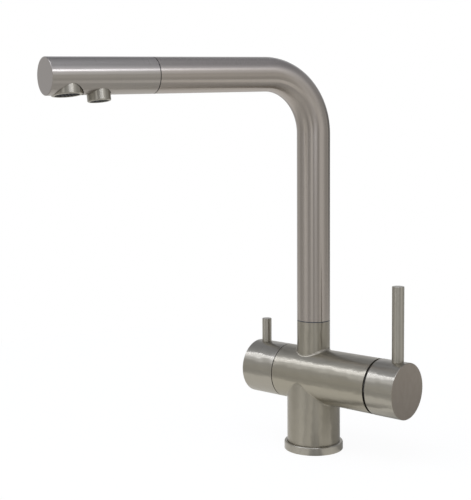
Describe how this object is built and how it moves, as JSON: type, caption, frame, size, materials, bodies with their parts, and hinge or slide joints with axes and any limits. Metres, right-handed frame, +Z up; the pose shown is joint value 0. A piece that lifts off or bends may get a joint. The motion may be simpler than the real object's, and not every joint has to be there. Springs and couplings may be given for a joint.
{
  "type": "kitchen mixer tap",
  "caption": "Kitchen mixer tap with a swivelling bent spout, a tilting mixer lever, a turning lever for filtered water, and separate aerated and filtered outlets.",
  "frame": {"origin": "centre of the foot, on the deck", "axes": "+Z up, +X along the body towards the mixer lever, -Y towards the user"},
  "size_m": [0.1694, 0.2607, 0.3308],
  "materials": {
    "brushed_nickel": "brushed nickel, satin",
    "brass": "machined",
    "steel": "turned stainless steel",
    "black_rubber": "matt",
    "black_plastic": "moulded, matt",
    "grey_plastic": "moulded, matt",
    "ceramic": "lapped ceramic",
    "clear_white_plastic": "natural plastic"
  },
  "bodies": {
    "body": {"base_ring": "brushed_nickel", "base_seal": "black_rubber", "inlet_block": "brass", "tap_body": "brushed_nickel", "retaining_screw": "steel", "slip_ring": "black_plastic", "filter_nipple": "brass", "cartridge_base": "grey_plastic", "cartridge_seals": "black_rubber", "fixed_disc": "ceramic", "cartridge_housing": "grey_plastic", "cartridge_nut": "brass", "filter_valve_body": "brass", "filter_valve_seal": "black_rubber", "filter_fixed_disc": "ceramic"},
    "spout": {"spout_tube": "brushed_nickel", "spout_insert": "brass", "spigot_o_rings": "black_rubber", "filter_tube": "clear_white_plastic", "head_adapter": "black_plastic", "head_seam_ring": "black_plastic", "outlet_head": "brushed_nickel", "aerator_housing": "brushed_nickel", "aerator_insert": "clear_white_plastic", "aerator_washer": "black_rubber", "filter_nozzle": "brushed_nickel", "nozzle_o_ring": "black_rubber", "nozzle_screen": "clear_white_plastic"},
    "cartridge_turn": {"cartridge_collar": "black_plastic", "pivot_pin": "steel"},
    "mixer_handle": {"lever_stem": "steel", "mixer_cap": "brushed_nickel", "mixer_pin": "brushed_nickel", "mixer_set_screw": "steel"},
    "disc_slider": {"mixing_disc": "ceramic", "disc_carrier": "black_plastic"},
    "filter_handle": {"filter_cap": "brushed_nickel", "filter_pin": "brushed_nickel", "filter_set_screw": "steel", "filter_spindle": "brass", "filter_moving_disc": "ceramic"}
  },
  "joints": [
    {"name": "spout_swivel", "type": "hinge", "parent": "body", "child": "spout", "pos_m": [0, 0, 0.11], "axis": [0, 0, 1], "continuous": true},
    {"name": "mixer_turn", "type": "hinge", "parent": "body", "child": "cartridge_turn", "pos_m": [0.081, 0, 0.0635], "axis": [1, 0, 0], "range_deg": [-45, 45]},
    {"name": "mixer_lift", "type": "hinge", "parent": "cartridge_turn", "child": "mixer_handle", "pos_m": [0.081, 0, 0.0635], "axis": [0, 1, 0], "range_deg": [0, 20]},
    {"name": "disc_slide", "type": "slide", "parent": "cartridge_turn", "child": "disc_slider", "axis": [0, 0, 1], "range_m": [0, 0.005]},
    {"name": "filter_turn", "type": "hinge", "parent": "body", "child": "filter_handle", "pos_m": [-0.045, 0, 0.0635], "axis": [1, 0, 0], "range_deg": [0, 90]}
  ],
  "couplings": [
    {"joint": "disc_slide", "follows": "mixer_lift", "m_per_rad": 0.014}
  ]
}
